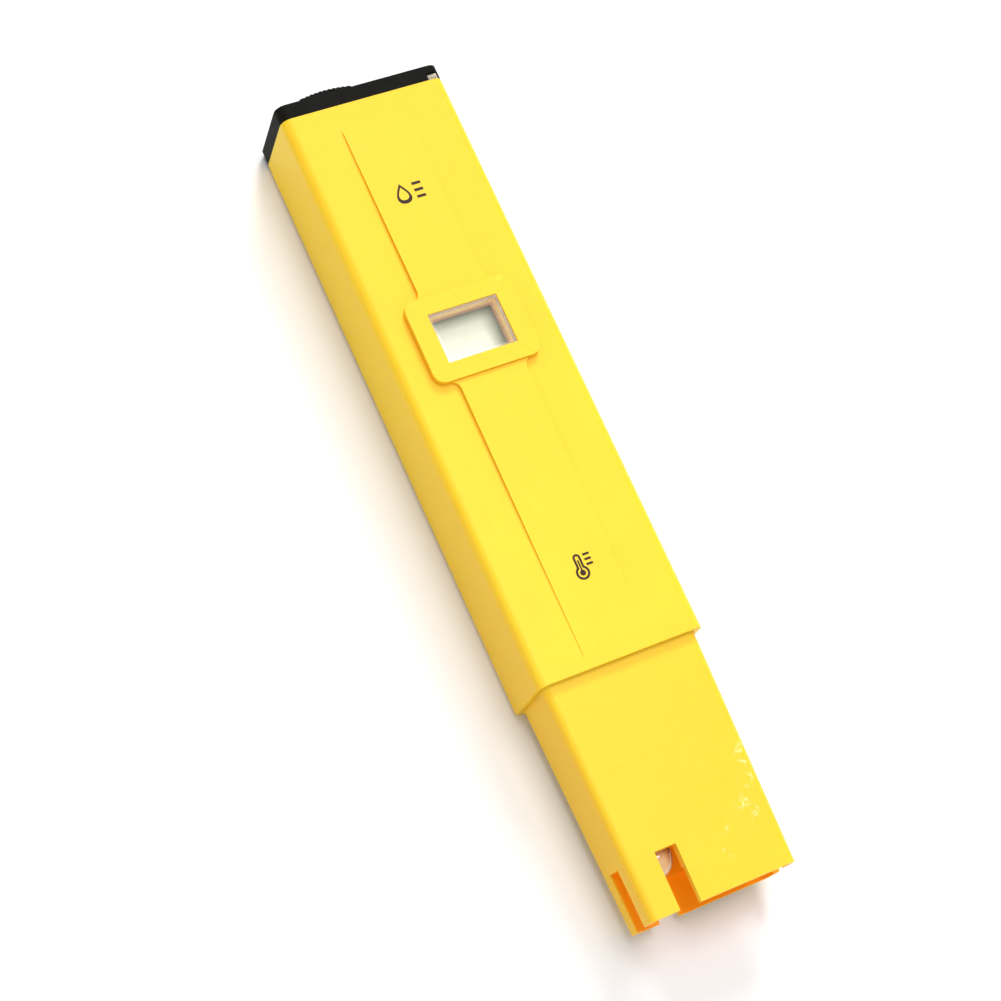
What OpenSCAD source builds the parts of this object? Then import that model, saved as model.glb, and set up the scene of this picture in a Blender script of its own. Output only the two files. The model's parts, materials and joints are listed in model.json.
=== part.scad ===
// Pocket pH meter: a pen-shaped tester lying on its back, display face up.
// X is across the meter, +Y runs from the probe end to the battery cap, +Z out of the display face.

/* [Sleeve] */
// Width of the sleeve across the display face
body_w = 30; // [29:0.5:34]
// Depth of the sleeve from its back to its front face
body_d = 16.5; // [16:0.5:18]
// Length of the sleeve
sleeve_len = 104.5; // [104:0.5:112]
// Radius of the sleeve's long edges
body_r = 1.8; // [1:0.1:2.5]
// Thickness of the side walls
side_wall = 1; // [0.8:0.1:1.1]
// Thickness of the front and back walls
face_wall = 1.6; // [1.4:0.1:1.7]

/* [Front face] */
// Width of the raised band along the front
band_w = 12; // [10:0.5:14]
// Height of the band above the front face
band_h = 0.7; // [0.3:0.1:1]
// Width of the raised bezel around the display
bezel_w = 19.4; // [18:0.2:22]
// Length of the bezel
bezel_len = 15; // [14:0.5:18]
// Height of the bezel above the front face
bezel_h = 1.2; // [1.1:0.1:1.6]
// Width of the display window
window_w = 12.6; // [11:0.2:14]
// Length of the display window
window_len = 9; // [8:0.2:10]
// Distance of the window's centre above the sleeve's lower edge
window_up = 59.3; // [56:0.1:62]

/* [Probe housing] */
// Length of the housing below the sleeve
probe_len = 39.6; // [36:0.2:44]
// Width of the housing where it leaves the sleeve
probe_top_w = 27.9; // [27.4:0.1:27.9]
// Width of the housing at its open end
probe_end_w = 26.4; // [26:0.1:27]
// Depth of the housing where it leaves the sleeve
probe_top_d = 13.4; // [13:0.1:13.8]
// Depth of the housing at its open end
probe_end_d = 11.9; // [11.6:0.1:12.4]
// Radius of the housing's long edges
probe_r = 1.5; // [1:0.1:2]
// Width of the slots in the front and rear walls
face_slot_w = 3.8; // [3:0.1:4.2]
// Width of the slots in the side walls
side_slot_w = 4.2; // [3:0.1:5]
// Length of the slots from the open end
slot_len = 9.7; // [8:0.1:11]

/* [Battery cap] */
// Visible height of the cap above the sleeve
cap_h = 2.7; // [2.6:0.1:4]
// Height of the switch knob above the cap
knob_h = 2.4; // [1.8:0.1:3]
// Width of the switch knob
knob_w = 9.5; // [8:0.5:11]
// Travel of the switch
switch_travel = 4; // [3:0.5:5]

/* [Hidden] */
$fn = 64;
eps = 0.01;
hull_fn = 32;

// Overall length: sleeve, probe housing, cap and knob, centred on Y = 0
total_len = probe_len + sleeve_len + cap_h + knob_h;
probe_y0 = -total_len / 2;
sleeve_y0 = probe_y0 + probe_len;
sleeve_y1 = sleeve_y0 + sleeve_len;
cap_y1 = sleeve_y1 + cap_h;
knob_y1 = cap_y1 + knob_h;
mid_z = body_d / 2;
cavity_w = body_w - 2 * side_wall;
cavity_z0 = face_wall;
cavity_z1 = body_d - face_wall;
cavity_d = cavity_z1 - cavity_z0;
cavity_r = 0.9;
window_y = sleeve_y0 + window_up;
side_gap = 0.1;

// Probe housing
spigot_len = 10;
spigot_gap = 0.05;
spigot_w = cavity_w - 2 * spigot_gap;
spigot_d = cavity_d - 2 * spigot_gap;
probe_z = mid_z;
probe_top_z = probe_z + 0.2;
mouth_w = 24;
mouth_d = 9.5;
throat_w = 22.8;
throat_d = 8.3;
bore_w = 25.2;
bore_d = 10.2;
chamber_r = 0.8;
ledge_y = probe_y0 + 6;
floor_y = probe_y0 + 15;
step_y = probe_y0 + 22;
face_slot_x = -6.2;
seal_y = sleeve_y0 + 4;
seal_len = 1.6;
seal_depth = 0.7;

// Sensors
bulb_x = -6.4;
bulb_r = 3.1;
bulb_wall = 0.35;
bulb_y = probe_y0 + 9.1;
stem_r = 2.7;
stem_bore_r = 2.1;
bulb_cut = sqrt(bulb_r * bulb_r - stem_r * stem_r);
stem_y0 = bulb_y + bulb_cut;
stem_y1 = sleeve_y0 + 5;
collar_r = 3.5;
collar_len = 4;
ref_x = 6.4;
ref_y0 = probe_y0 + 12;
ref_r = 3;
ref_bore_r = 2;
junction_len = 4;
sheath_y0 = probe_y0 + 10.5;
sheath_y1 = step_y + 4;
sheath_r = 1.6;
sheath_bore_r = 1.1;
wire_r = 0.3;
lead_r = 0.45;
thin_lead_r = 0.4;
lead_pitch = 0.9;

// Circuit board
board_w = 26;
board_t = 1.6;
board_z0 = probe_z + lead_r;
board_z1 = board_z0 + board_t;
board_y0 = sleeve_y0 + 13;
board_y1 = sleeve_y1 - 20;
rail_h = 1.2;
rail_reach = 1.8;
rail_gap = 0.1;
pad_y = board_y0 + 1.5;
trimmer_y = sleeve_y0 + 27;
trimmer_w = 6.6;
trimmer_t = 4.4;
trimmer_bore_r = 1.2;
trimmer_shaft_r = 1.15;
trimmer_head_r = 1.7;
trimmer_head_t = 1;
adjust_hole_r = 1.8;
chip_y = sleeve_y0 + 38;
amp_y = sleeve_y0 + 22;

// Display
lens_t = 0.8;
lens_fit = 0.05;
lens_recess = 0.25;
lens_pane = 0.7;
lens_wall = 0.35;
lens_top = body_d + bezel_h - lens_recess;
lens_w = window_w + 3;
lens_len = window_len + 3;
lens_z0 = cavity_z1 - lens_t;
frame_gap = 0.1;
frame_z1 = lens_z0 - frame_gap;
glass_w = 20;
glass_len = 14;
glass_t = 0.7;
rear_len = 10.4;
film_t = 0.2;
film_z1 = frame_z1 - 0.1;
front_glass_z0 = film_z1 - film_t - glass_t;
rear_glass_z0 = front_glass_z0 - glass_t;
strip_w = 19;
strip_t = 1.4;
frame_w = 23.6;
frame_len = 17.6;
frame_fit = 0.1;

// Battery tray and contacts
tray_len = 17.5;
tray_gap = 0.2;
tray_w = cavity_w - 2 * tray_gap;
tray_d = cavity_d - 2 * tray_gap;
tray_z0 = cavity_z0 + tray_gap;
tray_y0 = sleeve_y1 - tray_len;
tray_wall = 1.2;
tray_back = 0.7;
shelf_t = 3;
shelf_y0 = sleeve_y1 - 4.5;
shelf_y1 = shelf_y0 + shelf_t;
cell_r = 5.8;
cell_t = 5.4;
cell_neg_r = 4.4;
cell_neg_t = 0.9;
cell_y = (tray_y0 + tray_wall + shelf_y0) / 2;
cell_z = tray_z0 + tray_back + cell_r + 0.05;
cell_x0 = tray_w / 2 - tray_wall - 0.3;
metal_t = 0.3;
foot_y = tray_y0 - metal_t;
foot_gap = 0.2;
top_t = 1.4;
notch_w = 2;
notch_h = 1.3;
notch_side = 0.6;
notch_x0 = body_w / 2 - notch_side - notch_w;
tab_recess = 0.5;
tab_slots = 4;
tab_slot_w = 0.18;
tab_pitch = 0.38;
strap_x = -5;
strap_w = 3;

// Switch
knob_x = -4.4;
knob_z0 = 3.5;
knob_z1 = 13;
knob_crown = 0.5;
knob_gap = 0.1;
stem_w = 3;
stem_d = 4;
slot_gap = 0.2;
flange_w = 7;
flange_d = 6;
flange_t = 1.1;
flange_y1 = cap_y1 - top_t - knob_gap;
flange_y0 = flange_y1 - flange_t;
groove_count = 10;
groove_r = 0.3;
groove_lift = 0.18;
groove_pitch = 0.85;
wiper_reach = 2.2;
wiper_gap = 0.05;

// Rectangle with round corners, centred on the origin
module rounded_rect(w, h, r) {
  square([w - 2 * r, h], center = true);
  square([w, h - 2 * r], center = true);
  for (x = [-1, 1], y = [-1, 1])
    translate([x * (w / 2 - r), y * (h / 2 - r)]) circle(r);
}

// Extrudes an XZ outline along +Y
module along_y(y0, len) {
  translate([0, y0 + len, 0]) rotate([90, 0, 0]) linear_extrude(len) children();
}

// Extrudes a YZ outline along +X
module along_x(x0, len) {
  translate([x0, 0, 0]) rotate([90, 0, 90]) linear_extrude(len) children();
}

// Round bar along Y on the probe axis height
module rod_y(x, y0, y1, r, z = probe_z) {
  translate([x, y0, z]) rotate([-90, 0, 0]) cylinder(h = y1 - y0, r = r);
}

// Tube along Y
module tube_y(x, y0, y1, r_out, r_in) {
  difference() {
    rod_y(x, y0, y1, r_out);
    rod_y(x, y0 - 1, y1 + 1, r_in);
  }
}

// Box between two corners
module span(a, b) {
  translate(a) cube(b - a);
}

// Side outline of the band: full height beside the bezel, sloping down to a short ramp at each end
module band_profile() {
  ramp = 1.2;
  full = bezel_len / 2 + 2;
  low_end_h = 0.12;
  top_end_h = 0.3;
  y0 = sleeve_y0 + 1.5;
  y1 = sleeve_y0 + 100;
  z_low = body_d - 0.5;
  polygon([
    [y0, z_low], [y0, body_d], [y0 + ramp, body_d + low_end_h],
    [window_y - full, body_d + band_h], [window_y + full, body_d + band_h],
    [y1 - ramp, body_d + top_end_h], [y1, body_d], [y1, z_low]
  ]);
}

// Concave fillets where the band's sides run into the bezel
module band_fillets() {
  overlap = 0.2;
  r = 1.6;
  for (sx = [-1, 1], sy = [-1, 1])
    translate([sx * band_w / 2, window_y + sy * bezel_len / 2, body_d - 0.5])
      linear_extrude(band_h + 0.5)
        difference() {
          translate([sx > 0 ? -overlap : -r, sy > 0 ? -overlap : -r]) square(r + overlap);
          translate([sx * r, sy * r]) circle(r);
        }
}

// Rails inside the sleeve that hold the edges of the circuit board
module board_rails() {
  rail_x = cavity_w / 2 - rail_reach;
  for (s = [-1, 1], z = [board_z0 - rail_gap - rail_h, board_z1 + rail_gap])
    translate([s > 0 ? rail_x : -cavity_w / 2 - 0.2, board_y0 - 1, z])
      cube([rail_reach + 0.2, board_y1 - board_y0 - 2, rail_h]);
}

module upper_case() {
  color([0.98, 0.90, 0.30]) difference() {
    union() {
      difference() {
        union() {
          along_y(sleeve_y0, sleeve_len)
            translate([0, mid_z]) rounded_rect(body_w, body_d, body_r);
          along_x(-band_w / 2, band_w) band_profile();
          translate([0, window_y, body_d - 0.5])
            linear_extrude(bezel_h + 0.5) rounded_rect(bezel_w, bezel_len, 2);
          band_fillets();
        }
        along_y(sleeve_y0 - 1, sleeve_len + 2)
          translate([0, mid_z]) rounded_rect(cavity_w, cavity_d, cavity_r);
      }
      board_rails();
    }
    translate([-window_w / 2, window_y - window_len / 2, cavity_z1 - 1])
      cube([window_w, window_len, face_wall + bezel_h + 2]);
    translate([0, trimmer_y, -1]) cylinder(h = face_wall + 2, r = adjust_hole_r);
  }
}

// Clear hat-shaped window: a pane on thin walls, with a flange behind the front wall
module window_lens() {
  w = window_w - 2 * lens_fit;
  len = window_len - 2 * lens_fit;
  color([0.85, 0.92, 0.88, 0.5]) translate([0, window_y, lens_z0]) difference() {
    union() {
      linear_extrude(lens_t) rounded_rect(lens_w, lens_len, 0.8);
      translate([-w / 2, -len / 2, 0]) cube([w, len, lens_top - lens_z0]);
    }
    translate([-w / 2 + lens_wall, -len / 2 + lens_wall, -1])
      cube([w - 2 * lens_wall, len - 2 * lens_wall, lens_top - lens_pane - lens_z0 + 1]);
  }
}

// One end plate of the tapered housing
module housing_plate(y, w, d, z, len) {
  along_y(y, len) translate([0, z])
    for (x = [-1, 1], z = [-1, 1])
      translate([x * (w / 2 - probe_r), z * (d / 2 - probe_r)]) circle(probe_r, $fn = hull_fn);
}

module housing_chamber() {
  along_y(probe_y0 - 1, ledge_y - probe_y0 + 1)
    translate([0, probe_z]) rounded_rect(mouth_w, mouth_d, chamber_r);
  along_y(ledge_y - 1, step_y - ledge_y + 2)
    translate([0, probe_z]) rounded_rect(throat_w, throat_d, chamber_r);
  along_y(step_y, sleeve_y0 + spigot_len - step_y + 1)
    translate([0, probe_z]) rounded_rect(bore_w, bore_d, chamber_r);
}

module housing_slots() {
  top_y = probe_y0 + slot_len;
  span([face_slot_x - face_slot_w / 2, probe_y0 - 1, -1],
       [face_slot_x + face_slot_w / 2, top_y, body_d + 1]);
  span([-body_w, probe_y0 - 1, probe_z - side_slot_w / 2],
       [body_w, top_y, probe_z + side_slot_w / 2]);
}

module seal_groove() {
  along_y(seal_y, seal_len) translate([0, probe_z]) difference() {
    square([body_w + 2, body_d + 2], center = true);
    rounded_rect(spigot_w - 2 * seal_depth, spigot_d - 2 * seal_depth, cavity_r);
  }
}

module probe_housing() {
  end_t = 0.02;
  color([0.97, 0.86, 0.28]) difference() {
    union() {
      hull() {
        housing_plate(probe_y0, probe_end_w, probe_end_d, probe_z, end_t);
        housing_plate(sleeve_y0 - end_t, probe_top_w, probe_top_d, probe_top_z, end_t);
      }
      along_y(sleeve_y0 - 0.5, spigot_len + 0.5)
        translate([0, probe_z]) rounded_rect(spigot_w, spigot_d, cavity_r);
    }
    housing_chamber();
    housing_slots();
    seal_groove();
  }
}

module housing_seal() {
  color([0.15, 0.15, 0.15])
    along_y(seal_y + 0.05, seal_len - 0.1) translate([0, probe_z]) difference() {
      rounded_rect(cavity_w, cavity_d, cavity_r);
      rounded_rect(spigot_w - 2 * seal_depth, spigot_d - 2 * seal_depth, cavity_r);
    }
}

module electrode_stem() {
  color([0.85, 0.92, 0.95, 0.6]) tube_y(bulb_x, stem_y0, stem_y1, stem_r, stem_bore_r);
}

// Thin glass bulb, open where it joins the stem
module electrode_bulb() {
  color([0.8, 0.9, 0.95, 0.6])
    translate([bulb_x, bulb_y, probe_z]) rotate([-90, 0, 0]) rotate_extrude() difference() {
      circle(bulb_r);
      circle(bulb_r - bulb_wall);
      translate([-2 * bulb_r, -2 * bulb_r]) square([2 * bulb_r, 4 * bulb_r]);
      translate([-1, bulb_cut]) square(2 * bulb_r);
    }
}

module electrode_wire() {
  color([0.75, 0.75, 0.78]) rod_y(bulb_x, bulb_y - 1, stem_y1 + 1.5, wire_r);
}

// Moulded collar that closes the upper end of a sensor tube
module sensor_collar(x, y, tube_r) {
  difference() {
    rod_y(x, y - collar_len + 1, y + 1, collar_r);
    rod_y(x, y - collar_len, y, tube_r);
    rod_y(x, y - 1, y + 2, wire_r);
  }
}

module electrode_collar() {
  color([0.2, 0.2, 0.22]) sensor_collar(bulb_x, stem_y1, stem_r);
}

module reference_tube() {
  color([0.85, 0.85, 0.82]) tube_y(ref_x, ref_y0, stem_y1, ref_r, ref_bore_r);
}

module reference_junction() {
  color([0.95, 0.95, 0.92]) rod_y(ref_x, ref_y0 - 0.5, ref_y0 + junction_len, ref_bore_r);
}

module reference_wire() {
  color([0.7, 0.7, 0.72]) rod_y(ref_x, ref_y0 + junction_len + 2, stem_y1 + 1.5, wire_r);
}

module reference_collar() {
  color([0.2, 0.2, 0.22]) sensor_collar(ref_x, stem_y1, ref_r);
}

// Closed thin tube that holds the temperature sensor in the liquid
module temperature_sheath() {
  color([0.75, 0.76, 0.78]) difference() {
    union() {
      rod_y(0, sheath_y0, sheath_y1, sheath_r);
      translate([0, sheath_y0, probe_z]) sphere(sheath_r);
    }
    rod_y(0, sheath_y0, sheath_y1 + 1, sheath_bore_r);
  }
}

module thermistor_bead() {
  color([0.2, 0.2, 0.2]) translate([0, sheath_y0 + 1.2, probe_z]) sphere(0.9);
}

module thermistor_leads() {
  color([0.7, 0.7, 0.7]) for (s = [-1, 1])
    rod_y(s * lead_pitch / 2, sheath_y0 + 2.1, sheath_y1 + 2, 0.2);
}

// Resin that fills the housing around the sensor tubes
module potting_plug() {
  color([0.12, 0.12, 0.13]) difference() {
    along_y(floor_y, step_y - floor_y)
      translate([0, probe_z]) rounded_rect(throat_w, throat_d, chamber_r);
    rod_y(bulb_x, floor_y - 1, step_y + 1, stem_r);
    rod_y(ref_x, floor_y - 1, step_y + 1, ref_r);
    rod_y(0, floor_y - 1, step_y + 1, sheath_r);
  }
}

// Insulated lead from the top of a sensor to its pad on the back of the board
module sensor_lead(x, y0, r) {
  rod_y(x, y0, pad_y + 1, r);
}

module electrode_lead() {
  color([0.85, 0.85, 0.85]) sensor_lead(bulb_x, stem_y1 + 1.5, lead_r);
}

module reference_lead() {
  color([0.1, 0.1, 0.1]) sensor_lead(ref_x, stem_y1 + 1.5, lead_r);
}

module thermistor_lead_pair() {
  color([0.75, 0.1, 0.1]) for (s = [-1, 1])
    sensor_lead(s * lead_pitch / 2, sheath_y1 + 2, thin_lead_r);
}

module circuit_board() {
  color([0.1, 0.4, 0.2]) difference() {
    span([-board_w / 2, board_y0, board_z0], [board_w / 2, board_y1, board_z1]);
    for (x = [-2, 0, 2])
      translate([x, trimmer_y, board_z0 - 1]) cylinder(h = board_t + 2, r = 0.4);
  }
}

// Small outline chip on the face of the board
module chip(y, w, len, t) {
  translate([-w / 2, y - len / 2, board_z1 + 0.2]) cube([w, len, t]);
}

// Two rows of bent pins beside a chip
module chip_pins(y, w, count, pitch) {
  reach = 1;
  for (s = [-1, 1], i = [0 : count - 1])
    translate([s > 0 ? w / 2 : -w / 2 - reach, y + (i - (count - 1) / 2) * pitch - 0.2, board_z1]) {
      cube([reach, 0.4, 0.2]);
      translate([s > 0 ? 0 : reach - 0.3, 0, 0]) cube([0.3, 0.4, 0.9]);
    }
}

module main_chip() {
  color([0.13, 0.13, 0.14]) chip(chip_y, 8, 8, 1.4);
}

module main_chip_pins() {
  color([0.8, 0.8, 0.82]) chip_pins(chip_y, 8, 8, 0.9);
}

module amplifier_chip() {
  color([0.13, 0.13, 0.14]) chip(amp_y, 4, 5, 1.4);
}

module amplifier_chip_pins() {
  color([0.8, 0.8, 0.82]) chip_pins(amp_y, 4, 4, 1.27);
}

module resistors() {
  color([0.15, 0.15, 0.17]) for (x = [-8.5, 8.5], i = [0 : 3])
    translate([x - 1, amp_y - 4 + i * 5, board_z1]) cube([2, 1.25, 0.5]);
}

module capacitors() {
  color([0.7, 0.58, 0.42]) for (x = [-5, 5], i = [0 : 1])
    translate([x - 1, amp_y - 3 + i * 9, board_z1]) cube([2, 1.25, 1.1]);
}

// Calibration trimmer on the back of the board, under the hole in the back wall
module trimmer_body() {
  z0 = board_z0 - trimmer_t;
  color([0.15, 0.3, 0.7]) difference() {
    translate([-trimmer_w / 2, trimmer_y - trimmer_w / 2, z0]) cube([trimmer_w, trimmer_w, trimmer_t]);
    translate([0, trimmer_y, z0 - 1]) cylinder(h = 3.2, r = trimmer_bore_r);
  }
}

module trimmer_pins() {
  color([0.8, 0.8, 0.82]) for (x = [-2, 0, 2])
    translate([x, trimmer_y, board_z0]) cylinder(h = board_t + 0.8, r = 0.35);
}

module trimmer_screw() {
  z0 = board_z0 - trimmer_t - 0.1;
  slot_w = 0.6;
  color([0.9, 0.85, 0.6]) difference() {
    union() {
      translate([0, trimmer_y, z0 - trimmer_head_t]) cylinder(h = trimmer_head_t, r = trimmer_head_r);
      translate([0, trimmer_y, z0 - eps]) cylinder(h = 2.1, r = trimmer_shaft_r);
    }
    translate([-trimmer_head_r - 1, trimmer_y - slot_w / 2, z0 - trimmer_head_t - 1])
      cube([2 * trimmer_head_r + 2, slot_w, 1.5]);
  }
}

// Flat plate of the display stack
module display_plate(w, len, z0, t) {
  translate([-w / 2, window_y - len / 2, z0]) cube([w, len, t]);
}

module display_front_glass() {
  color([0.9, 0.95, 0.92, 0.5]) display_plate(glass_w, glass_len, front_glass_z0, glass_t);
}

module display_rear_glass() {
  color([0.9, 0.95, 0.92, 0.5]) display_plate(glass_w, rear_len, rear_glass_z0, glass_t);
}

module display_polariser() {
  color([0.75, 0.8, 0.7]) display_plate(glass_w - 1, rear_len, film_z1 - film_t, film_t);
}

module display_reflector() {
  color([0.85, 0.88, 0.82]) display_plate(glass_w - 1, rear_len - 0.4, rear_glass_z0 - film_t, film_t);
}

// Frame that clamps the display and its contact strips against the board
module display_frame() {
  color([0.9, 0.9, 0.88]) translate([0, window_y, board_z1]) linear_extrude(frame_z1 - board_z1)
    difference() {
      rounded_rect(frame_w, frame_len, 1);
      square([glass_w + 2 * frame_fit, glass_len + 2 * frame_fit], center = true);
    }
}

// Elastomer strip that carries the display's signals from board to glass
module contact_strip(side) {
  y = window_y + side * (glass_len / 2 - strip_t / 2 - 0.1);
  translate([-strip_w / 2, y - strip_t / 2, board_z1]) cube([strip_w, strip_t, front_glass_z0 - board_z1]);
}

module contact_strip_upper() {
  color([0.85, 0.55, 0.6]) contact_strip(1);
}

module contact_strip_lower() {
  color([0.85, 0.55, 0.6]) contact_strip(-1);
}

// Leaf spring on the board's upper end that presses on a battery contact foot
module board_spring(x) {
  front = foot_y - foot_gap;
  bow = front - board_y1;
  bend_z = board_z1 + metal_t - bow;
  along_x(x - 1.5, 3) {
    translate([board_y1 - 5, board_z1]) square([5.1, metal_t]);
    translate([front - metal_t, bend_z - 2.5]) square([metal_t, 2.5]);
    translate([board_y1, bend_z]) intersection() {
      difference() {
        circle(bow);
        circle(bow - metal_t);
      }
      square(bow + 1);
    }
  }
}

module board_spring_positive() {
  color([0.85, 0.75, 0.45]) board_spring(strap_x + strap_w / 2);
}

module board_spring_negative() {
  color([0.85, 0.75, 0.45]) board_spring(-10.5);
}

// Open-fronted tray below the cap that holds the cells
module battery_tray() {
  inner_w = tray_w - 2 * tray_wall;
  difference() {
    along_y(tray_y0, tray_len + 0.5)
      translate([0, mid_z]) rounded_rect(tray_w, tray_d, 0.7);
    span([-inner_w / 2, tray_y0 + tray_wall, tray_z0 + tray_back], [inner_w / 2, shelf_y0, body_d]);
    span([-inner_w / 2, shelf_y1, tray_z0 + tray_wall], [inner_w / 2, sleeve_y1 + 1, body_d - 2.6]);
  }
}

// Places in the cap and tray that the metal contacts pass through
module contact_ways() {
  x_wall = tray_w / 2 - tray_wall;
  span([x_wall - metal_t - 0.1, shelf_y0 - 1, 6.4], [x_wall, shelf_y1 + 1, 10.1]);
  span([-x_wall, tray_y0 - 1, 6.4], [-x_wall + metal_t + 0.1, tray_y0 + tray_wall + 1, 10.1]);
  span([strap_x - 0.1, tray_y0 - 1, tray_z0 - 1], [strap_x + strap_w + 0.1, shelf_y1, tray_z0 + 0.45]);
  span([strap_x - 0.1, shelf_y1 - 1, tray_z0 - 1], [strap_x + strap_w + 0.1, shelf_y1 + 0.5, tray_z0 + 2]);
  span([x_wall - metal_t - 0.3, shelf_y1, body_d - 2.7], [x_wall, sleeve_y1 + notch_h, body_d - 2.2]);
  span([notch_x0, sleeve_y1, body_d - 2.7], [notch_x0 + notch_w, sleeve_y1 + notch_h, body_d + 1]);
}

module battery_cap() {
  x0 = knob_x - stem_w / 2 - slot_gap;
  x1 = knob_x + stem_w / 2 + switch_travel + slot_gap;
  color([0.13, 0.13, 0.13]) difference() {
    union() {
      along_y(sleeve_y1, cap_h) translate([0, mid_z]) rounded_rect(body_w, body_d, body_r);
      battery_tray();
    }
    span([-10, sleeve_y1 - 1, 4], [8, cap_y1 - top_t, 12.6]);
    span([x0, cap_y1 - top_t - 1, mid_z - stem_d / 2 - side_gap],
         [x1, cap_y1 + 1, mid_z + stem_d / 2 + side_gap]);
    contact_ways();
  }
}

// Button cell lying across the tray, its can towards +X
module cell(index) {
  x1 = cell_x0 - index * cell_t;
  color([0.78, 0.78, 0.8]) translate([x1, cell_y, cell_z]) rotate([0, -90, 0]) {
    cylinder(h = cell_t - cell_neg_t, r = cell_r);
    translate([0, 0, cell_t - cell_neg_t - eps]) cylinder(h = cell_neg_t + eps, r = cell_neg_r);
  }
}

module cell_1() {
  cell(0);
}

module cell_2() {
  cell(1);
}

module cell_3() {
  cell(2);
}

module cell_4() {
  cell(3);
}

// Cut between two fingers of the contact's tab
module tab_slot(x, z) {
  translate([x - tab_slot_w / 2, sleeve_y1, z - 1]) cube([tab_slot_w, notch_h - 0.6, 2]);
}

// Plate behind the first cell, its arm to the switch and its comb-shaped tab in the cap's corner notch
module battery_contact_positive() {
  x1 = tray_w / 2 - tray_wall;
  x0 = x1 - metal_t;
  pad_z1 = mid_z + 1.75;
  tab_z0 = body_d - 2.6;
  tab_x0 = notch_x0 + 0.15;
  tab_x1 = notch_x0 + notch_w - 0.15;
  tab_y0 = sleeve_y1 + 0.1;
  tab_y1 = sleeve_y1 + notch_h - 0.1;
  tab_z1 = body_d - tab_recess;
  color([0.8, 0.78, 0.72]) {
    span([x0, cell_y - 5, mid_z - 4], [x1, cell_y + 5, mid_z + 4]);
    span([x0, cell_y + 4, 6.5], [x1, shelf_y1 + metal_t, pad_z1]);
    span([-0.4, shelf_y1, 6.5], [x1, shelf_y1 + metal_t, pad_z1]);
    span([x0 - 0.2, shelf_y1, pad_z1 - 1], [x1, shelf_y1 + metal_t, tab_z0 + metal_t]);
    span([x0 - 0.2, shelf_y1, tab_z0], [x1, tab_y1, tab_z0 + metal_t]);
    span([x0 - 0.2, tab_y0, tab_z0], [tab_x1, tab_y1, tab_z0 + metal_t]);
    span([tab_x0, tab_y1 - metal_t, tab_z0], [tab_x1, tab_y1, tab_z1]);
    difference() {
      span([tab_x0, tab_y0, tab_z1 - metal_t], [tab_x1, tab_y1, tab_z1]);
      for (i = [0 : tab_slots - 1])
        tab_slot((tab_x0 + tab_x1) / 2 + (i - (tab_slots - 1) / 2) * tab_pitch, tab_z1);
    }
  }
}

// Sprung finger under the last cell and its foot under the tray
module battery_contact_negative() {
  x0 = -tray_w / 2 + tray_wall;
  last_x = cell_x0 - 4 * cell_t;
  color([0.8, 0.78, 0.72]) {
    span([x0, tray_y0 - metal_t, 6.5], [x0 + metal_t, cell_y + 4, 10]);
    span([x0, tray_y0 - metal_t, 6.5], [x0 + 3.6, tray_y0, 10]);
    translate([0, 0, 6.8]) linear_extrude(2.9) polygon([
      [x0 + metal_t - eps, cell_y + 4], [x0 + metal_t - eps, cell_y + 3.6],
      [last_x - metal_t, cell_y + 0.4], [x0 + metal_t + 0.4, cell_y - 3],
      [x0 + metal_t + 0.7, cell_y - 3.2], [last_x, cell_y + 0.4], [last_x, cell_y + 0.8]
    ]);
  }
}

// Switch pad on the shelf and its strap down the back of the tray to the board
module switch_contact() {
  z0 = tray_z0 + 0.1;
  color([0.8, 0.78, 0.72]) {
    span([-8, shelf_y1, 6.5], [-1.2, shelf_y1 + metal_t, 10]);
    span([strap_x, shelf_y1, z0], [strap_x + strap_w, shelf_y1 + metal_t, 8]);
    span([strap_x, foot_y, z0], [strap_x + strap_w, shelf_y1 + metal_t, z0 + metal_t]);
    span([strap_x, foot_y, z0], [strap_x + strap_w, tray_y0, 10]);
  }
}

// Outline of the knob along Z: a low block with a crowned, grooved top
module knob_outline() {
  rise = knob_h - knob_gap;
  half = knob_w / 2;
  crown_r = (half * half + knob_crown * knob_crown) / (2 * knob_crown);
  difference() {
    intersection() {
      translate([0, rise - crown_r]) circle(crown_r, $fn = 180);
      translate([-half, 0]) square([knob_w, rise + 1]);
    }
    for (i = [0 : groove_count - 1])
      translate([0, rise - crown_r])
        rotate((i - (groove_count - 1) / 2) * groove_pitch / crown_r * 180 / PI)
          translate([0, crown_r + groove_lift]) circle(groove_r, $fn = 24);
  }
}

module switch_knob() {
  base_y = cap_y1 + knob_gap;
  color([0.15, 0.15, 0.15]) {
    translate([knob_x, base_y, knob_z0]) linear_extrude(knob_z1 - knob_z0) knob_outline();
    span([knob_x - stem_w / 2, flange_y1 - 0.1, mid_z - stem_d / 2],
         [knob_x + stem_w / 2, base_y + 0.3, mid_z + stem_d / 2]);
    span([knob_x - flange_w / 2, flange_y0, mid_z - flange_d / 2],
         [knob_x + flange_w / 2, flange_y1, mid_z + flange_d / 2]);
  }
}

// Copper strip under the knob with two round bumps that ride on the switch pads
module switch_wiper() {
  bump_y0 = shelf_y1 + metal_t + wiper_gap;
  strip_y0 = flange_y0 - metal_t;
  bump_r = (strip_y0 + metal_t / 2 - bump_y0) / 2;
  color([0.85, 0.6, 0.35]) {
    span([knob_x - 3.2, strip_y0, mid_z - 1.5], [knob_x + 3.2, flange_y0, mid_z + 1.5]);
    for (s = [-1, 1])
      translate([knob_x + s * wiper_reach, bump_y0 + bump_r, mid_z - 1]) cylinder(h = 2, r = bump_r);
  }
}

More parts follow.
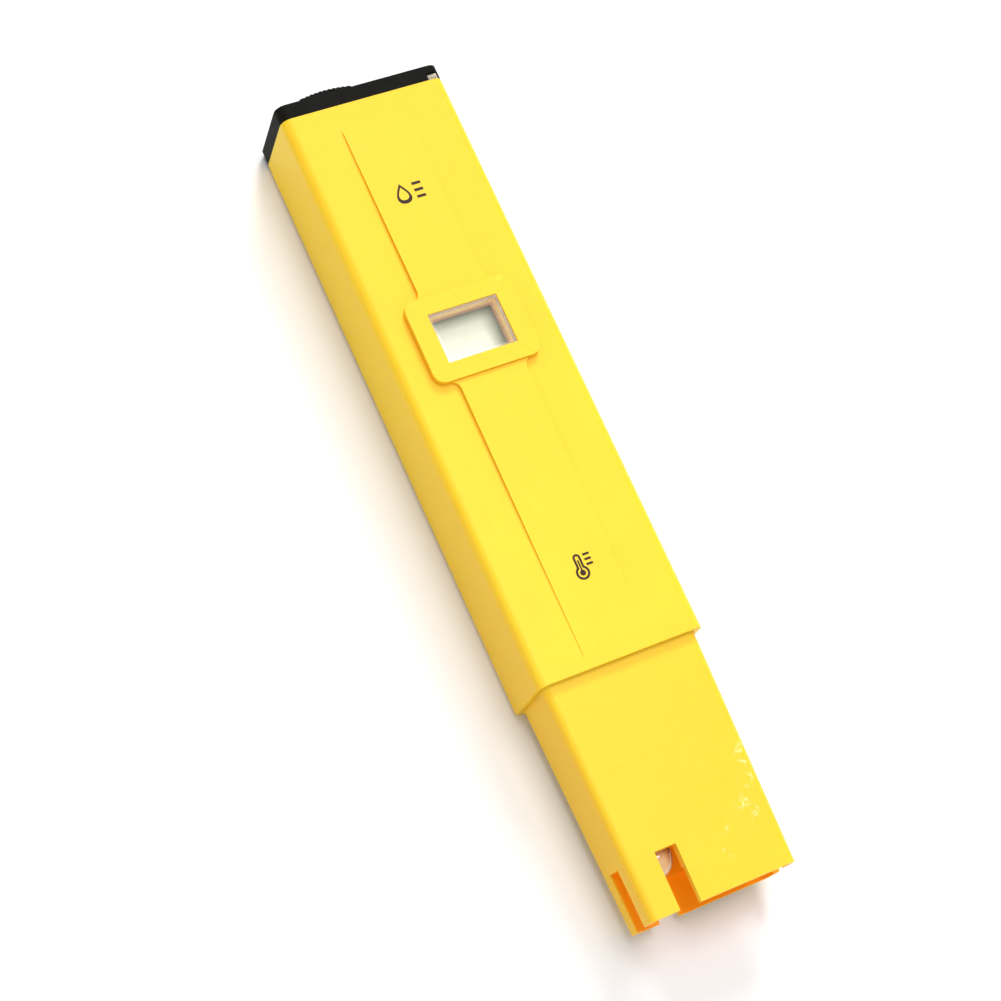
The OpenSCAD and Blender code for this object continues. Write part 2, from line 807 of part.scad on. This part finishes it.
upper_case();
window_lens();
probe_housing();
housing_seal();
electrode_stem();
electrode_bulb();
electrode_wire();
electrode_collar();
reference_tube();
reference_junction();
reference_wire();
reference_collar();
temperature_sheath();
thermistor_bead();
thermistor_leads();
potting_plug();
electrode_lead();
reference_lead();
thermistor_lead_pair();
circuit_board();
main_chip();
main_chip_pins();
amplifier_chip();
amplifier_chip_pins();
resistors();
capacitors();
trimmer_body();
trimmer_pins();
trimmer_screw();
display_front_glass();
display_rear_glass();
display_polariser();
display_reflector();
display_frame();
contact_strip_upper();
contact_strip_lower();
board_spring_positive();
board_spring_negative();
battery_cap();
cell_1();
cell_2();
cell_3();
cell_4();
battery_contact_positive();
battery_contact_negative();
switch_contact();
switch_knob();
switch_wiper();
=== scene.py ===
"""Digital pH meter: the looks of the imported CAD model, with its printed signs and its stage.

Metres, in the CAD model's own frame: the meter lies on its back, X across, Y along and Z up.
"""
import json
import math

import bmesh
import bpy
from mathutils import Euler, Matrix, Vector


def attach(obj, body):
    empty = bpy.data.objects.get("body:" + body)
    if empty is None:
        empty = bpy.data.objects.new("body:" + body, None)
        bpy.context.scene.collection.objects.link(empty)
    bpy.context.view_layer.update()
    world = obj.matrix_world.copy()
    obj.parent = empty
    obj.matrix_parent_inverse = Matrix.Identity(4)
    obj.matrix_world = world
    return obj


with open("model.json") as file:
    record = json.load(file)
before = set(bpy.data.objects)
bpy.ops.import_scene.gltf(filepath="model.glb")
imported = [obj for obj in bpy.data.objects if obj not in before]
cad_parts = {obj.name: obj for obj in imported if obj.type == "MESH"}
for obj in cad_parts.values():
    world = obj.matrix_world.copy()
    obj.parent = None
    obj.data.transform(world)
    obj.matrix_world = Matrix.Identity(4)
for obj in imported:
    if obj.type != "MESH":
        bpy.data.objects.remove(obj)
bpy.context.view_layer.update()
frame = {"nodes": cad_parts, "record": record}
nodes = frame["nodes"]

MM = 0.001

# Camera: place in metres, turn in degrees, lens and sensor in millimetres
CAMERA_PLACE = (-0.14185, -0.09760, 0.36391)
CAMERA_TURN = (21.478, -13.454, -24.613)
CAMERA_LENS = 86.57
CAMERA_SENSOR = 36
CAMERA_NEAR = 0.01

# Printed signs: their places on the band, and the height and slopes of the band's top, which is
# level between two places along the meter and falls away beyond them
SIGN_DROP = (-0.9 * MM, 50.7 * MM)
SIGN_THERMOMETER = (-0.2 * MM, -20.2 * MM)
BAND_LEVEL = (14.8 * MM, 33.8 * MM)
BAND_TOP = 17.2 * MM
SLOPE_LOW = 0.58 / 47.1
SLOPE_HIGH = 0.40 / 30.0
PRINT_LIFT = 0.02 * MM

# Width of the rounding on the sharp edges of the outer pieces
EDGE_WIDTHS = {
    "upper_case": 0.3 * MM,
    "probe_housing": 0.2 * MM,
    "battery_cap": 0.5 * MM,
    "switch_knob": 0.12 * MM,
    "window_lens": 0.15 * MM,
}
EDGE_SEGMENTS = 3
EDGE_ANGLE = 35
WELD_DISTANCE = 0.002 * MM

# Yellow plastic: the sensor chamber's box and its painted glow, where the outer side faces with
# their painted shade begin, the length that the painted shade along the meter runs over, how far
# the painted shade in crevices reaches, and how soft a mask's edge is
CHAMBER_X = (-13.0 * MM, 13.0 * MM)
CHAMBER_Y = (-80.0 * MM, -40.0 * MM)
CHAMBER_Z = (3.3 * MM, 13.1 * MM)
SIDE_FACE_X = (12.0 * MM, 12.5 * MM)
METER_Y = (-75.0 * MM, 75.0 * MM)
CREVICE_SHADE_DISTANCE = 4.0 * MM
EDGE_SOFTNESS = 0.05 * MM
CHAMBER_PAINTED_GLOW = 0.13

# Half the window's clear pane, inside its upright walls, and the painted glow of those walls
PANE_HALF_X = 5.8 * MM
PANE_HALF_Y = 4.0 * MM
WALL_PAINTED_GLOW = 0.11

# The bezel's shade on the display: where it begins and is full, from the display's middle
SHADE_FAR = (1.9 * MM, 4.3 * MM)
SHADE_RIGHT = (3.2 * MM, 6.0 * MM)

# Heights of the fine relief in the surfaces
FINE_GRAIN = 0.02 * MM
COARSE_GRAIN = 0.03 * MM
TRACK_HEIGHT = 0.04 * MM

# Bow of specks on the probe housing's face: its middle, how its inner and outer edges fade with
# the distance from there, and where it fades across the meter, along it and towards the back
SCUFF_MIDDLE = (-1.0 * MM, -55.0 * MM, 13.4 * MM)
SCUFF_INNER = (11.0 * MM, 13.0 * MM)
SCUFF_OUTER = (14.0 * MM, 17.0 * MM)
SCUFF_X = (-4.0 * MM, 2.0 * MM)
SCUFF_Y = (-56.0 * MM, -53.0 * MM)
SCUFF_Z = (9.0 * MM, 11.0 * MM)

# Light and floor: each lamp's name, place in metres, size in metres and power in watts
WORLD_LIGHT = 0.5
LAMPS = (
    ("key", (0.10, 0.18, 1.20), 0.7, 7.8),
    ("top", (0.55, 1.00, 0.85), 0.5, 11.5),
    ("fill", (-0.10, -0.90, 0.25), 0.8, 1.0),
)
FLOOR_SIZE = 3.0


# ---------------------------------------------------------------- node helpers
class Nodes:
    """Short calls for building one material's node tree."""

    def __init__(self, name):
        self.material = bpy.data.materials.new(name)
        self.material.use_nodes = True
        self.tree = self.material.node_tree
        self.shader = self.tree.nodes["Principled BSDF"]
        coordinates = self.add("ShaderNodeTexCoord")
        self.place = coordinates.outputs["Object"]
        self.normal = coordinates.outputs["Normal"]

    def add(self, kind, **settings):
        node = self.tree.nodes.new(kind)
        for key, value in settings.items():
            setattr(node, key, value)
        return node

    def link(self, source, target):
        self.tree.links.new(source, target)

    def set(self, **values):
        """Sets constant inputs of the shader by name, with _ for a space."""
        for key, value in values.items():
            self.shader.inputs[key.replace("_", " ")].default_value = value

    def stretched(self, scale):
        """The place, multiplied by the scale along each axis."""
        mapping = self.add("ShaderNodeMapping")
        mapping.inputs["Scale"].default_value = scale
        self.link(self.place, mapping.inputs["Vector"])
        return mapping.outputs["Vector"]

    def noise(self, scale, detail=3.0, roughness=0.5, vector=None):
        node = self.add("ShaderNodeTexNoise")
        node.inputs["Scale"].default_value = scale
        node.inputs["Detail"].default_value = detail
        node.inputs["Roughness"].default_value = roughness
        self.link(vector or self.place, node.inputs["Vector"])
        return node.outputs["Fac"]

    def voronoi(self, scale, vector):
        node = self.add("ShaderNodeTexVoronoi", feature="F1")
        node.inputs["Scale"].default_value = scale
        self.link(vector, node.inputs["Vector"])
        return node.outputs["Distance"]

    def ramp(self, source, stops):
        """Colour ramp through stops of (position, colour)."""
        node = self.add("ShaderNodeValToRGB")
        elements = node.color_ramp.elements
        while len(elements) < len(stops):
            elements.new(0.5)
        for element, (position, colour) in zip(elements, stops):
            element.position = position
            element.color = (*colour, 1.0)
        self.link(source, node.inputs["Fac"])
        return node.outputs["Color"]

    def grey(self, source, low, high, start=0.0, end=1.0):
        """Turns start to end of the source into low to high, and holds it there outside."""
        node = self.add("ShaderNodeMapRange")
        values = (start, end, low, high)
        for name, value in zip(("From Min", "From Max", "To Min", "To Max"), values):
            node.inputs[name].default_value = value
        self.link(source, node.inputs["Value"])
        return node.outputs["Result"]

    def mix(self, factor, first, second, blend="MIX"):
        """Mixes two colours or masks, each a constant or the output of a node."""
        node = self.add("ShaderNodeMixRGB", blend_type=blend)
        for name, value in (("Fac", factor), ("Color1", first), ("Color2", second)):
            if isinstance(value, (int, float)):
                node.inputs[name].default_value = value
            elif isinstance(value, tuple):
                node.inputs[name].default_value = (*value, 1.0)
            else:
                self.link(value, node.inputs[name])
        return node.outputs["Color"]

    def squared(self, value):
        node = self.add("ShaderNodeMath", operation="MULTIPLY")
        self.link(value, node.inputs[0])
        self.link(value, node.inputs[1])
        return node.outputs["Value"]

    def bump(self, height, distance, strength):
        node = self.add("ShaderNodeBump")
        node.inputs["Distance"].default_value = distance
        node.inputs["Strength"].default_value = strength
        self.link(height, node.inputs["Height"])
        self.link(node.outputs["Normal"], self.shader.inputs["Normal"])

    def colour(self, source):
        self.link(source, self.shader.inputs["Base Color"])

    def rough(self, source):
        self.link(source, self.shader.inputs["Roughness"])


def axis_part(kit, axis, vector=None):
    """One coordinate of a vector, or of the place in metres."""
    node = kit.add("ShaderNodeSeparateXYZ")
    kit.link(vector or kit.place, node.inputs["Vector"])
    return node.outputs[axis]


def product(kit, *masks):
    """Masks multiplied together."""
    result = masks[0]
    for mask in masks[1:]:
        result = kit.mix(1.0, result, mask, "MULTIPLY")
    return result


def middle_of(node_name):
    """Middle of a CAD node's box."""
    corners = [Vector(corner) for corner in nodes[node_name].bound_box]
    return sum(corners, Vector()) / len(corners)


# ---------------------------------------------------------------- materials
def scuffs(kit):
    """Mask of the fine pale specks that run in a bow across the end of the probe housing's face."""
    specks = kit.grey(kit.noise(1000, 6, 0.7), 0, 1, 0.56, 0.62)
    cloud = kit.grey(kit.noise(260, 3), 0, 1, 0.42, 0.54)
    apart = kit.add("ShaderNodeVectorMath", operation="DISTANCE")
    kit.link(kit.place, apart.inputs[0])
    apart.inputs[1].default_value = SCUFF_MIDDLE
    past_inner = kit.grey(apart.outputs["Value"], 0, 1, *SCUFF_INNER)
    before_outer = kit.grey(apart.outputs["Value"], 1, 0, *SCUFF_OUTER)
    across = kit.grey(axis_part(kit, "X"), 0, 1, *SCUFF_X)
    lower = kit.grey(axis_part(kit, "Y"), 1, 0, *SCUFF_Y)
    front = kit.grey(axis_part(kit, "Z"), 0, 1, *SCUFF_Z)
    return product(kit, specks, cloud, past_inner, before_outer, across, lower, front)


def painted_side_shade_mask(kit):
    """Mask of the body's left and right faces, which get painted shade and light."""
    turned = kit.grey(kit.squared(axis_part(kit, "X", kit.normal)), 0, 1, 0.35, 1.0)
    low, high = SIDE_FACE_X
    outer = kit.grey(kit.squared(axis_part(kit, "X")), 0, 1, low ** 2, high ** 2)
    return product(kit, turned, outer)


def within(kit, value, low, high):
    """1 where a coordinate is between low and high, 0 elsewhere."""
    above = kit.grey(value, 0, 1, low - EDGE_SOFTNESS, low + EDGE_SOFTNESS)
    below = kit.grey(value, 1, 0, high - EDGE_SOFTNESS, high + EDGE_SOFTNESS)
    return product(kit, above, below)


def painted_glow_chamber_mask(kit):
    """Mask of the sensor chamber's walls, where an orange glow is painted on."""
    across = within(kit, axis_part(kit, "X"), *CHAMBER_X)
    deep = within(kit, axis_part(kit, "Z"), *CHAMBER_Z)
    along = within(kit, axis_part(kit, "Y"), *CHAMBER_Y)
    return product(kit, across, deep, along)


def yellow_plastic():
    """Slightly translucent yellow: clouded, with painted shade along the meter, in crevices and on
    the sides, and a painted orange glow in the chamber.
    """
    kit = Nodes("yellow_plastic")
    cloud = kit.noise(60, 4)
    along = kit.grey(axis_part(kit, "Y"), 0, 1, *METER_Y)
    # Painted shade along the meter: lightest a little below the middle, more golden towards the end
    # away from the probe
    lengthwise_shade_stops = [
        (0.22, (0.96, 0.63, 0.034)),
        (0.30, (0.97, 0.67, 0.034)),
        (1.00, (0.97, 0.585, 0.026)),
    ]
    painted_lengthwise_shade = kit.ramp(along, lengthwise_shade_stops)
    body = kit.mix(kit.grey(cloud, 0, 0.5, 0.4, 0.65), painted_lengthwise_shade, (0.96, 0.60, 0.03))
    # Painted shade: crevices turn a darker orange, from ambient occlusion
    crevice_shade = kit.add("ShaderNodeAmbientOcclusion", samples=8, only_local=True)
    crevice_shade.inputs["Distance"].default_value = CREVICE_SHADE_DISTANCE
    body = kit.mix(kit.grey(crevice_shade.outputs["AO"], 1, 0), body, (1.0, 0.48, 0.01))
    # Painted shade and light on the side faces: deeper orange towards the probe, lighter further
    # along
    side_shade_colour = kit.ramp(along, [(0.2, (0.97, 0.565, 0.02)), (0.65, (1.0, 0.64, 0.016))])
    body = kit.mix(painted_side_shade_mask(kit), body, side_shade_colour)
    # Painted glow: the chamber walls get an orange colour and an orange emission that stand in for
    # light through the plastic
    chamber = painted_glow_chamber_mask(kit)
    body = kit.mix(chamber, body, (1.0, 0.38, 0.005))
    kit.colour(kit.mix(scuffs(kit), body, (0.98, 0.80, 0.30)))
    kit.link(kit.mix(chamber, (0, 0, 0), (1.0, 0.27, 0.0)), kit.shader.inputs["Emission Color"])
    kit.set(Emission_Strength=CHAMBER_PAINTED_GLOW)
    kit.rough(kit.grey(kit.noise(900, 5), 0.36, 0.48))
    kit.bump(kit.noise(4500, 4), FINE_GRAIN, 0.35)
    kit.set(IOR=1.46, Specular_IOR_Level=0.25)
    kit.set(Subsurface_Weight=0.4, Subsurface_Radius=(1.0, 0.4, 0.1), Subsurface_Scale=MM)
    return kit.material


def black_plastic():
    """Dull black of the battery cap and the switch."""
    kit = Nodes("black_plastic")
    shades = [(0.3, (0.005, 0.005, 0.004)), (0.8, (0.010, 0.009, 0.007))]
    kit.colour(kit.ramp(kit.noise(300, 4), shades))
    kit.rough(kit.grey(kit.noise(1200, 4), 0.45, 0.6))
    kit.bump(kit.noise(5000, 3), COARSE_GRAIN, 0.4)
    kit.set(IOR=1.3, Specular_IOR_Level=0.1)
    return kit.material


def metal(name, colour, roughness, stretch=(1, 30, 1)):
    """Brushed metal, with the grain squeezed by the stretch along each axis."""
    kit = Nodes(name)
    grain = kit.noise(1500, 3, vector=kit.stretched(stretch))
    dark = tuple(c * 0.75 for c in colour)
    kit.colour(kit.ramp(grain, [(0.25, dark), (0.75, colour)]))
    kit.rough(kit.grey(grain, roughness * 0.8, roughness * 1.3))
    kit.bump(grain, FINE_GRAIN, 0.3)
    kit.set(Metallic=1.0)
    return kit.material


def plain_plastic(name, low, high, roughness=0.45, scale=400):
    """Dull material whose colour runs from low to high over a fine grain."""
    kit = Nodes(name)
    grain = kit.noise(scale, 4)
    kit.colour(kit.ramp(grain, [(0.3, low), (0.75, high)]))
    kit.rough(kit.grey(kit.noise(scale * 3, 3), roughness * 0.85, roughness * 1.15))
    kit.bump(kit.noise(scale * 8, 3), FINE_GRAIN, 0.3)
    return kit.material


def let_lamps_through(kit, colour):
    """Light from the lamps reaches what is behind this glass."""
    passing = kit.add("ShaderNodeBsdfTransparent")
    passing.inputs["Color"].default_value = (*colour, 1.0)
    path = kit.add("ShaderNodeLightPath")
    either = kit.add("ShaderNodeMixShader")
    kit.link(path.outputs["Is Shadow Ray"], either.inputs["Fac"])
    kit.link(kit.shader.outputs["BSDF"], either.inputs[1])
    kit.link(passing.outputs["BSDF"], either.inputs[2])
    kit.link(either.outputs["Shader"], kit.tree.nodes["Material Output"].inputs["Surface"])


def clear_plastic(name, colour, roughness=0.03):
    """Node kit of a clear material, for the window and the display's glasses."""
    kit = Nodes(name)
    haze = kit.noise(200, 4)
    light = tuple(min(1.0, c * 1.01) for c in colour)
    kit.colour(kit.ramp(haze, [(0.3, colour), (0.7, light)]))
    kit.rough(kit.grey(haze, roughness * 0.7, roughness * 1.5))
    kit.set(IOR=1.49, Transmission_Weight=1.0)
    let_lamps_through(kit, colour)
    return kit


def window_plastic():
    """Clear moulding whose upright walls have a painted warm cream glow."""
    kit = clear_plastic("clear_window", (0.985, 0.995, 0.975))
    middle = middle_of("window_lens")
    across = within(kit, axis_part(kit, "X"), middle.x - PANE_HALF_X, middle.x + PANE_HALF_X)
    along = within(kit, axis_part(kit, "Y"), middle.y - PANE_HALF_Y, middle.y + PANE_HALF_Y)
    pane = product(kit, across, along)
    # Painted glow: the upright walls around the pane emit a warm cream
    kit.link(kit.mix(pane, (1.0, 0.72, 0.50), (0, 0, 0)), kit.shader.inputs["Emission Color"])
    kit.set(Emission_Strength=WALL_PAINTED_GLOW)
    return kit.material


def sensor_glass():
    """Glass bulb with a painted reflection of the chamber's colour and painted shade towards its
    sides.
    """
    kit = Nodes("sensor_glass")
    haze = kit.noise(350, 4)
    # Painted reflection: a warm tan stands in for the orange chamber seen in the glass
    body = kit.ramp(haze, [(0.3, (0.86, 0.64, 0.34)), (0.7, (0.92, 0.72, 0.42))])
    # Painted shade: browner where the bulb's surface turns to face the sides
    painted_rim_shade = kit.grey(kit.squared(axis_part(kit, "X", kit.normal)), 0, 1, 0.02, 0.35)
    kit.colour(kit.mix(painted_rim_shade, body, (0.55, 0.30, 0.09)))
    kit.rough(kit.grey(haze, 0.04, 0.12))
    kit.bump(kit.noise(900, 2), COARSE_GRAIN, 0.2)
    kit.set(IOR=1.5, Transmission_Weight=0.2, Coat_Weight=1.0, Coat_Roughness=0.03)
    return kit.material


def display_film():
    """Grey film on the display, darker near the far and right edges, which the bezel shades."""
    kit = Nodes("polariser")
    film = kit.ramp(kit.noise(400, 4), [(0.3, (0.45, 0.47, 0.40)), (0.75, (0.48, 0.50, 0.43))])
    middle = middle_of("display_polariser")
    far = kit.grey(axis_part(kit, "Y"), 0, 1, *(middle.y + edge for edge in SHADE_FAR))
    right = kit.grey(axis_part(kit, "X"), 0, 1, *(middle.x + edge for edge in SHADE_RIGHT))
    shade = kit.mix(1.0, far, right, "SCREEN")
    kit.colour(kit.mix(shade, film, (0.14, 0.16, 0.13)))
    kit.rough(kit.grey(kit.noise(1200), 0.43, 0.58))
    kit.bump(kit.noise(3200), FINE_GRAIN, 0.3)
    return kit.material


def board_green():
    """Green board with the darker pattern of its copper."""
    kit = Nodes("board_green")
    cells = kit.voronoi(450, vector=kit.stretched((1, 0.45, 1)))
    track = kit.ramp(cells, [(0.42, (0.012, 0.10, 0.045)), (0.47, (0.02, 0.17, 0.075))])
    kit.colour(kit.mix(kit.grey(kit.noise(150), 0, 0.4), track, (0.008, 0.07, 0.035)))
    kit.rough(kit.grey(kit.noise(900), 0.25, 0.4))
    kit.bump(cells, TRACK_HEIGHT, 0.4)
    return kit.material


# Low colour, high colour, and where it isn't usual the roughness and the grain's scale
PLASTICS = {
    "reflector": ((0.70, 0.76, 0.62), (0.78, 0.84, 0.70)),
    "white_plastic": ((0.72, 0.72, 0.68), (0.80, 0.80, 0.77)),
    "reference_plastic": ((0.62, 0.62, 0.56), (0.70, 0.70, 0.65)),
    "porous_ceramic": ((0.62, 0.60, 0.54), (0.85, 0.84, 0.79), 0.9, 900),
    "thermistor_epoxy": ((0.01, 0.01, 0.012), (0.03, 0.03, 0.035), 0.2),
    "potting_resin": ((0.02, 0.02, 0.02), (0.05, 0.05, 0.048), 0.35, 250),
    "seal_rubber": ((0.015, 0.015, 0.015), (0.035, 0.035, 0.035), 0.7),
    "white_insulation": ((0.65, 0.65, 0.62), (0.75, 0.75, 0.72)),
    "black_insulation": ((0.015, 0.015, 0.015), (0.03, 0.03, 0.03)),
    "red_insulation": ((0.40, 0.02, 0.015), (0.52, 0.035, 0.025)),
    "chip_black": ((0.012, 0.012, 0.013), (0.03, 0.03, 0.032), 0.6, 900),
    "capacitor_ceramic": ((0.38, 0.27, 0.16), (0.50, 0.37, 0.24), 0.5, 900),
    "trimmer_blue": ((0.01, 0.06, 0.30), (0.02, 0.10, 0.42), 0.35),
    "carbon_silicone": ((0.42, 0.18, 0.20), (0.58, 0.30, 0.32), 0.6),
    "print_ink": ((0.028, 0.011, 0.005), (0.042, 0.017, 0.008), 0.8, 2500),
}

# Colour, roughness, and where it isn't usual the grain's stretch
METALS = {
    "sheath_steel": ((0.72, 0.72, 0.74), 0.25),
    "silver_wire": ((0.62, 0.61, 0.58), 0.35),
    "tin_plate": ((0.75, 0.75, 0.76), 0.3),
    "trimmer_brass": ((0.72, 0.55, 0.26), 0.28),
    "nickel_spring": ((0.40, 0.36, 0.28), 0.32),
    "copper_strip": ((0.80, 0.46, 0.28), 0.25),
    "cell_steel": ((0.76, 0.76, 0.77), 0.22, (30, 1, 1)),
}


def all_materials():
    """Every material, by the name of its slot."""
    materials = {
        "yellow_shell": yellow_plastic(),
        "black_cap": black_plastic(),
        "clear_window": window_plastic(),
        "display_glass": clear_plastic("display_glass", (0.985, 0.995, 0.97)).material,
        "polariser": display_film(),
        "sensor_glass": sensor_glass(),
        "board_laminate": board_green(),
    }
    for name, look in PLASTICS.items():
        materials[name] = plain_plastic(name, *look)
    for name, look in METALS.items():
        materials[name] = metal(name, *look)
    return materials


MATERIALS = all_materials()


def paint_nodes():
    """Gives each CAD node the material that its record names."""
    for part in frame["record"]["subparts"]:
        node = nodes[part["node"]]
        node.data.materials.clear()
        node.data.materials.append(MATERIALS[part["material_slot"]])


def soften(node_name, width):
    """Rounds the sharp edges of a CAD node with modifiers."""
    piece = nodes[node_name]
    weld = piece.modifiers.new("weld", "WELD")
    weld.merge_threshold = WELD_DISTANCE
    bevel = piece.modifiers.new("bevel", "BEVEL")
    bevel.width = width
    bevel.segments = EDGE_SEGMENTS
    bevel.limit_method = "ANGLE"
    bevel.angle_limit = math.radians(EDGE_ANGLE)
    bevel.use_clamp_overlap = True
    bevel.miter_outer = "MITER_ARC"
    bevel.face_strength_mode = "FSTR_AFFECTED"
    weighted = piece.modifiers.new("weighted", "WEIGHTED_NORMAL")
    weighted.use_face_influence = True
    weighted.keep_sharp = False


# ---------------------------------------------------------------- printed signs
def band_z(y):
    """Height of the band's top at a place along the meter."""
    low, high = BAND_LEVEL
    return BAND_TOP - SLOPE_LOW * max(0.0, low - y) - SLOPE_HIGH * max(0.0, y - high)


def drop_outline(size, steps=40):
    """Closed outline of a drop, its point up, with half its height as the size."""
    width = 0.95 * size
    taper = 1.4
    points = []
    for i in range(steps):
        t = 2 * math.pi * i / steps
        points.append((width * math.sin(t) * math.sin(t / 2) ** taper, size * math.cos(t)))
    return points


def thermometer_outline(bulb_r, stem_r, top, steps=20):
    """Closed outline of a bulb at the origin with a round-topped stem above it."""
    lean = math.asin(stem_r / bulb_r)
    points = []
    for i in range(steps + 1):
        t = lean + (2 * math.pi - 2 * lean) * i / steps
        points.append((bulb_r * math.sin(t), bulb_r * math.cos(t)))
    for i in range(steps + 1):
        t = math.pi * i / steps
        points.append((-stem_r * math.cos(t), top + stem_r * math.sin(t)))
    return points


def bar(x0, x1, y0, y1):
    """Four corners of a rectangle, anticlockwise."""
    return [(x0, y0), (x1, y0), (x1, y1), (x0, y1)]


def sign(name, place, rings, fills):
    """Thin print on the band: rings are pairs of outlines and fills are whole shapes, in mm."""
    mesh = bmesh.new()

    def corners(points):
        spots = []
        for x, y in points:
            along = place[1] + y * MM
            spots.append(mesh.verts.new((place[0] + x * MM, along, band_z(along) + PRINT_LIFT)))
        return spots

    for outer, inner in rings:
        a = corners(outer)
        b = corners(inner)
        for i in range(len(a)):
            j = (i + 1) % len(a)
            mesh.faces.new((a[i], a[j], b[j], b[i]))
    for points in fills:
        mesh.faces.new(corners(points))
    data = bpy.data.meshes.new(name)
    mesh.normal_update()
    for face in mesh.faces:
        if face.normal.z < 0:
            face.normal_flip()
    mesh.to_mesh(data)
    mesh.free()
    piece = bpy.data.objects.new(name, data)
    bpy.context.scene.collection.objects.link(piece)
    thick = piece.modifiers.new("thick", "SOLIDIFY")
    thick.thickness = PRINT_LIFT
    thick.offset = -1
    data.materials.append(MATERIALS["print_ink"])
    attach(piece, "case")


def circle(radius, steps=16):
    """Closed outline of a circle at the origin."""
    turns = [2 * math.pi * i / steps for i in range(steps)]
    return [(radius * math.sin(t), radius * math.cos(t)) for t in turns]


def bars(x0, x1, thickness, places):
    """Level bars from x0 to x1, one at each place."""
    return [bar(x0, x1, y, y + thickness) for y in places]


def drop_sign():
    """A drop with three level bars beside it."""
    drop = (drop_outline(1.9), drop_outline(1.25))
    levels = bars(2.1, 3.7, 0.5, (-1.5, -0.25, 1.0))
    sign("print_drop", SIGN_DROP, [drop], levels)


def thermometer_sign():
    """A thermometer with three marks beside it."""
    stem_top = 2.6
    outside = thermometer_outline(1.2, 0.66, stem_top)
    inside = thermometer_outline(0.82, 0.30, stem_top)
    bulb = circle(0.5)
    column = bar(-0.13, 0.13, 0.4, 2.2)
    marks = bars(1.15, 2.3, 0.38, (0.9, 1.75, 2.6))
    sign("print_thermometer", SIGN_THERMOMETER, [(outside, inside)], [bulb, column] + marks)


# ---------------------------------------------------------------- stage
def floor():
    """Large plain pale floor at the height the meter lies at."""
    mesh = bpy.data.meshes.new("floor")
    half = FLOOR_SIZE / 2
    corners = [(x, y, 0) for x, y in bar(-half, half, -half, half)]
    mesh.from_pydata(corners, [], [(0, 1, 2, 3)])
    plane = bpy.data.objects.new("floor", mesh)
    bpy.context.scene.collection.objects.link(plane)
    kit = Nodes("floor_white")
    kit.colour(kit.ramp(kit.noise(3), [(0.3, (0.90, 0.90, 0.90)), (0.7, (0.92, 0.92, 0.92))]))
    kit.set(Roughness=0.9)
    mesh.materials.append(kit.material)


def area_light(name, place, size, power):
    """Round white lamp that faces the meter."""
    lamp = bpy.data.lights.new(name, "AREA")
    lamp.shape = "DISK"
    lamp.size = size
    lamp.energy = power
    piece = bpy.data.objects.new(name, lamp)
    bpy.context.scene.collection.objects.link(piece)
    piece.location = place
    piece.rotation_euler = (-Vector(place)).to_track_quat("-Z", "Y").to_euler()


def lights():
    """Even white surroundings and the lamps."""
    world = bpy.data.worlds.new("studio")
    world.use_nodes = True
    background = world.node_tree.nodes["Background"]
    background.inputs["Color"].default_value = (1, 1, 1, 1)
    background.inputs["Strength"].default_value = WORLD_LIGHT
    bpy.context.scene.world = world
    for name, place, size, power in LAMPS:
        area_light(name, place, size, power)


def camera():
    """Long lens, looking down at the meter from its lower left."""
    data = bpy.data.cameras.new("camera")
    data.lens = CAMERA_LENS
    data.sensor_width = CAMERA_SENSOR
    data.clip_start = CAMERA_NEAR
    piece = bpy.data.objects.new("camera", data)
    bpy.context.scene.collection.objects.link(piece)
    piece.location = CAMERA_PLACE
    piece.rotation_euler = Euler([math.radians(a) for a in CAMERA_TURN], "XYZ")
    bpy.context.scene.camera = piece


paint_nodes()
for edged_node, edge_width in EDGE_WIDTHS.items():
    soften(edged_node, edge_width)
drop_sign()
thermometer_sign()
floor()
lights()
camera()
bpy.context.scene.view_settings.view_transform = "Standard"
